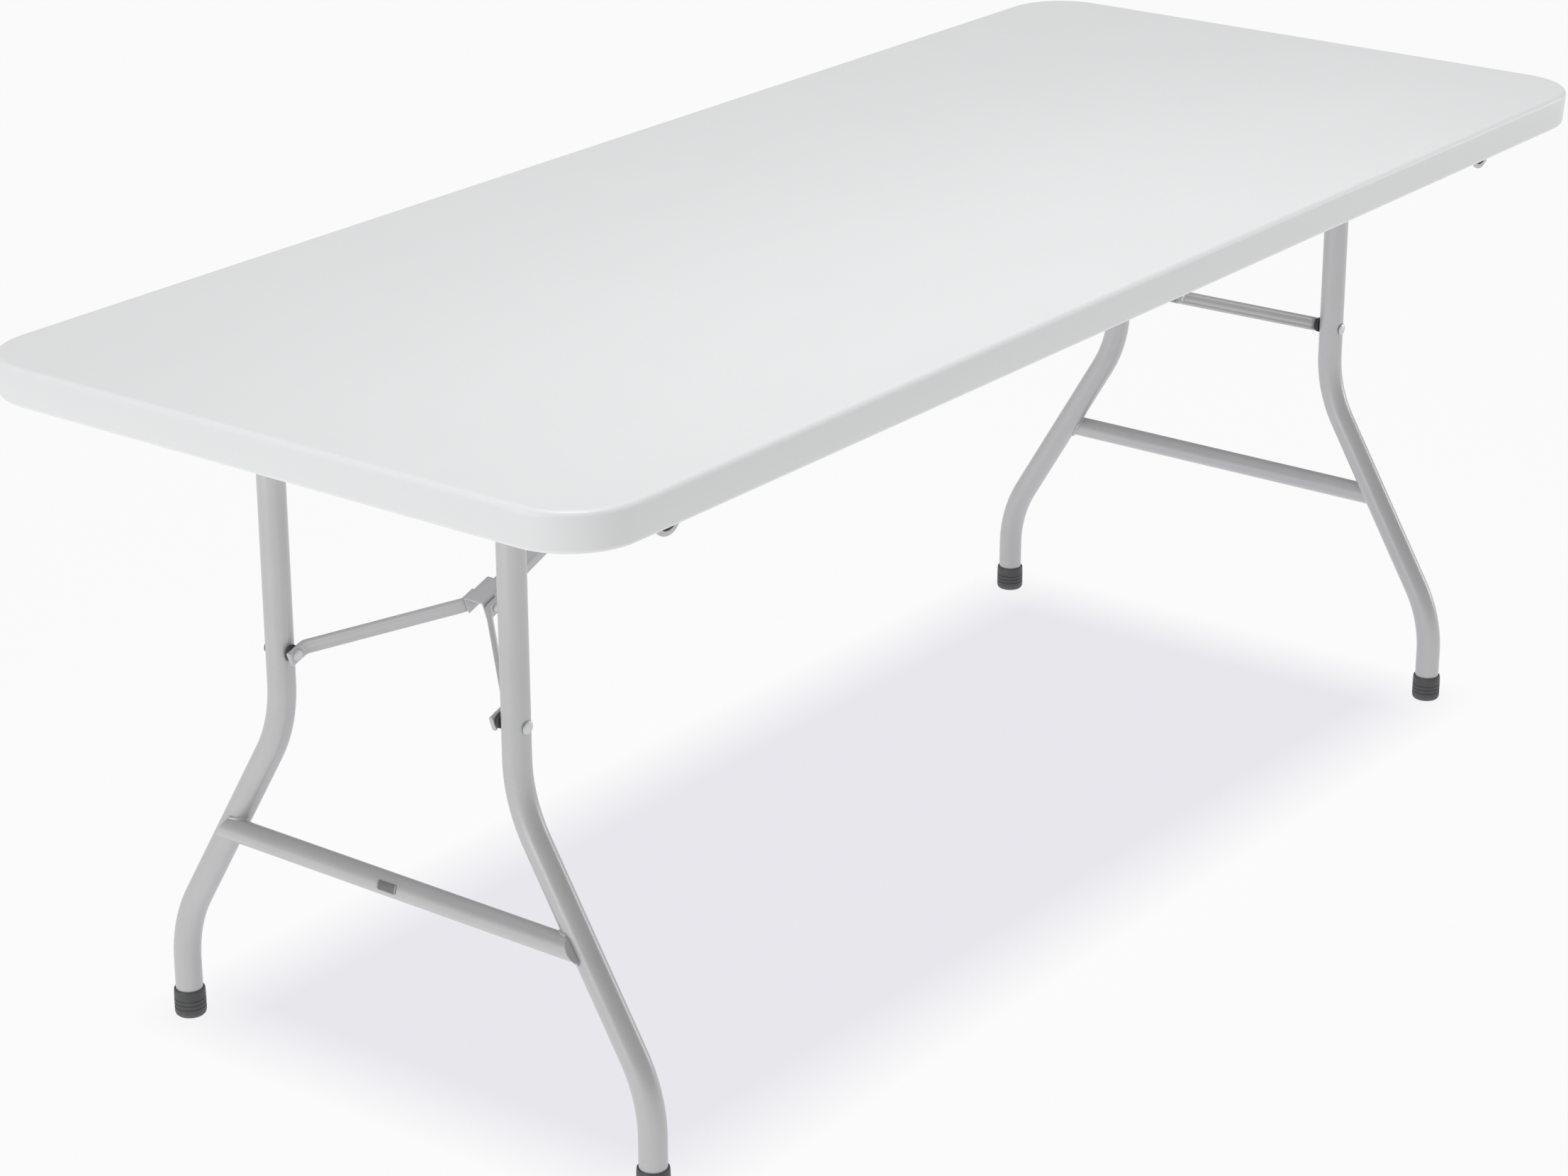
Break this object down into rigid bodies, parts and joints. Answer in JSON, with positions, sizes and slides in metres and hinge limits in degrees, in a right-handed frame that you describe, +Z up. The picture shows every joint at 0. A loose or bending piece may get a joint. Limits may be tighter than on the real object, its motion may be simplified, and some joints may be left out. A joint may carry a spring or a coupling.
{
  "type": "folding picnic table",
  "caption": "Rectangular folding table: moulded plastic top with rounded corners on two folding tubular steel leg frames, each held open by a V brace.",
  "frame": {"origin": "on the floor, under the middle of the table top", "axes": "+X along the table's length, +Y across it, +Z up"},
  "size_m": [1.83, 0.76, 0.74],
  "materials": {
    "white_plastic": "white moulded polyethylene, fine pebble grain",
    "grey_coating": "light grey powder coat, satin",
    "zinc_plate": "zinc plate",
    "foot_rubber": "charcoal moulded foot cap",
    "black_nylon": "black nylon",
    "label": "blank dark label plate"
  },
  "bodies": {
    "top": {"tabletop": "white_plastic", "side_rail_front": "grey_coating", "side_rail_back": "grey_coating", "crossmember": "grey_coating", "pivot_bracket_left_front": "grey_coating", "pivot_bush_left_front": "black_nylon", "leg_clip_left_front": "black_nylon", "pivot_bracket_left_back": "grey_coating", "pivot_bush_left_back": "black_nylon", "leg_clip_left_back": "black_nylon", "anchor_bracket_left": "zinc_plate", "anchor_pin_left": "zinc_plate", "pivot_bracket_right_front": "grey_coating", "pivot_bush_right_front": "black_nylon", "leg_clip_right_front": "black_nylon", "pivot_bracket_right_back": "grey_coating", "pivot_bush_right_back": "black_nylon", "leg_clip_right_back": "black_nylon", "anchor_bracket_right": "zinc_plate", "anchor_pin_right": "zinc_plate"},
    "leg_frame_left": {"pivot_tube_left": "grey_coating", "crossbar_left": "grey_coating", "leg_tube_left_front": "grey_coating", "leg_tube_left_back": "grey_coating", "foot_cap_left_front": "foot_rubber", "foot_cap_left_back": "foot_rubber", "brace_spacer_left_front": "black_nylon", "brace_spacer_left_back": "black_nylon", "leg_rivet_left_front": "zinc_plate", "leg_rivet_left_back": "zinc_plate", "blank_label": "label"},
    "brace_link_left": {"link_left": "grey_coating"},
    "brace_struts_left": {"yoke_left": "grey_coating", "hinge_pin_left": "zinc_plate", "strut_left_front": "grey_coating", "strut_left_back": "grey_coating", "yoke_rivet_left_front": "zinc_plate", "yoke_rivet_left_back": "zinc_plate", "strut_rivet_left_front": "zinc_plate", "strut_rivet_left_back": "zinc_plate"},
    "leg_frame_right": {"pivot_tube_right": "grey_coating", "crossbar_right": "grey_coating", "leg_tube_right_front": "grey_coating", "leg_tube_right_back": "grey_coating", "foot_cap_right_front": "foot_rubber", "foot_cap_right_back": "foot_rubber", "brace_spacer_right_front": "black_nylon", "brace_spacer_right_back": "black_nylon", "leg_rivet_right_front": "zinc_plate", "leg_rivet_right_back": "zinc_plate"},
    "brace_link_right": {"link_right": "grey_coating"},
    "brace_struts_right": {"yoke_right": "grey_coating", "hinge_pin_right": "zinc_plate", "strut_right_front": "grey_coating", "strut_right_back": "grey_coating", "yoke_rivet_right_front": "zinc_plate", "yoke_rivet_right_back": "zinc_plate", "strut_rivet_right_front": "zinc_plate", "strut_rivet_right_back": "zinc_plate"}
  },
  "joints": [
    {"name": "leg_left_fold", "type": "hinge", "parent": "top", "child": "leg_frame_left", "pos_m": [-0.745, 0, 0.688], "axis": [0, -1, 0], "range_deg": [0, 90]},
    {"name": "link_left_hinge", "type": "hinge", "parent": "top", "child": "brace_link_left", "pos_m": [-0.045, 0, 0.71], "axis": [0, 1, 0], "range_deg": [0, 21.38]},
    {"name": "struts_left_hinge", "type": "hinge", "parent": "brace_link_left", "child": "brace_struts_left", "pos_m": [-0.60405, 0, 0.48993], "axis": [0, -1, 0], "range_deg": [0, 174.4]},
    {"name": "leg_right_fold", "type": "hinge", "parent": "top", "child": "leg_frame_right", "pos_m": [0.745, 0, 0.688], "axis": [0, 1, 0], "range_deg": [0, 90]},
    {"name": "link_right_hinge", "type": "hinge", "parent": "top", "child": "brace_link_right", "pos_m": [0.045, 0, 0.71], "axis": [0, -1, 0], "range_deg": [0, 21.38]},
    {"name": "struts_right_hinge", "type": "hinge", "parent": "brace_link_right", "child": "brace_struts_right", "pos_m": [0.60405, 0, 0.48993], "axis": [0, 1, 0], "range_deg": [0, 174.4]}
  ],
  "couplings": [
    {"joint": "link_left_hinge", "follows": "leg_left_fold", "ratio": 0.237},
    {"joint": "struts_left_hinge", "follows": "leg_left_fold", "ratio": 1.9372},
    {"joint": "link_right_hinge", "follows": "leg_right_fold", "ratio": 0.237},
    {"joint": "struts_right_hinge", "follows": "leg_right_fold", "ratio": 1.9372}
  ]
}
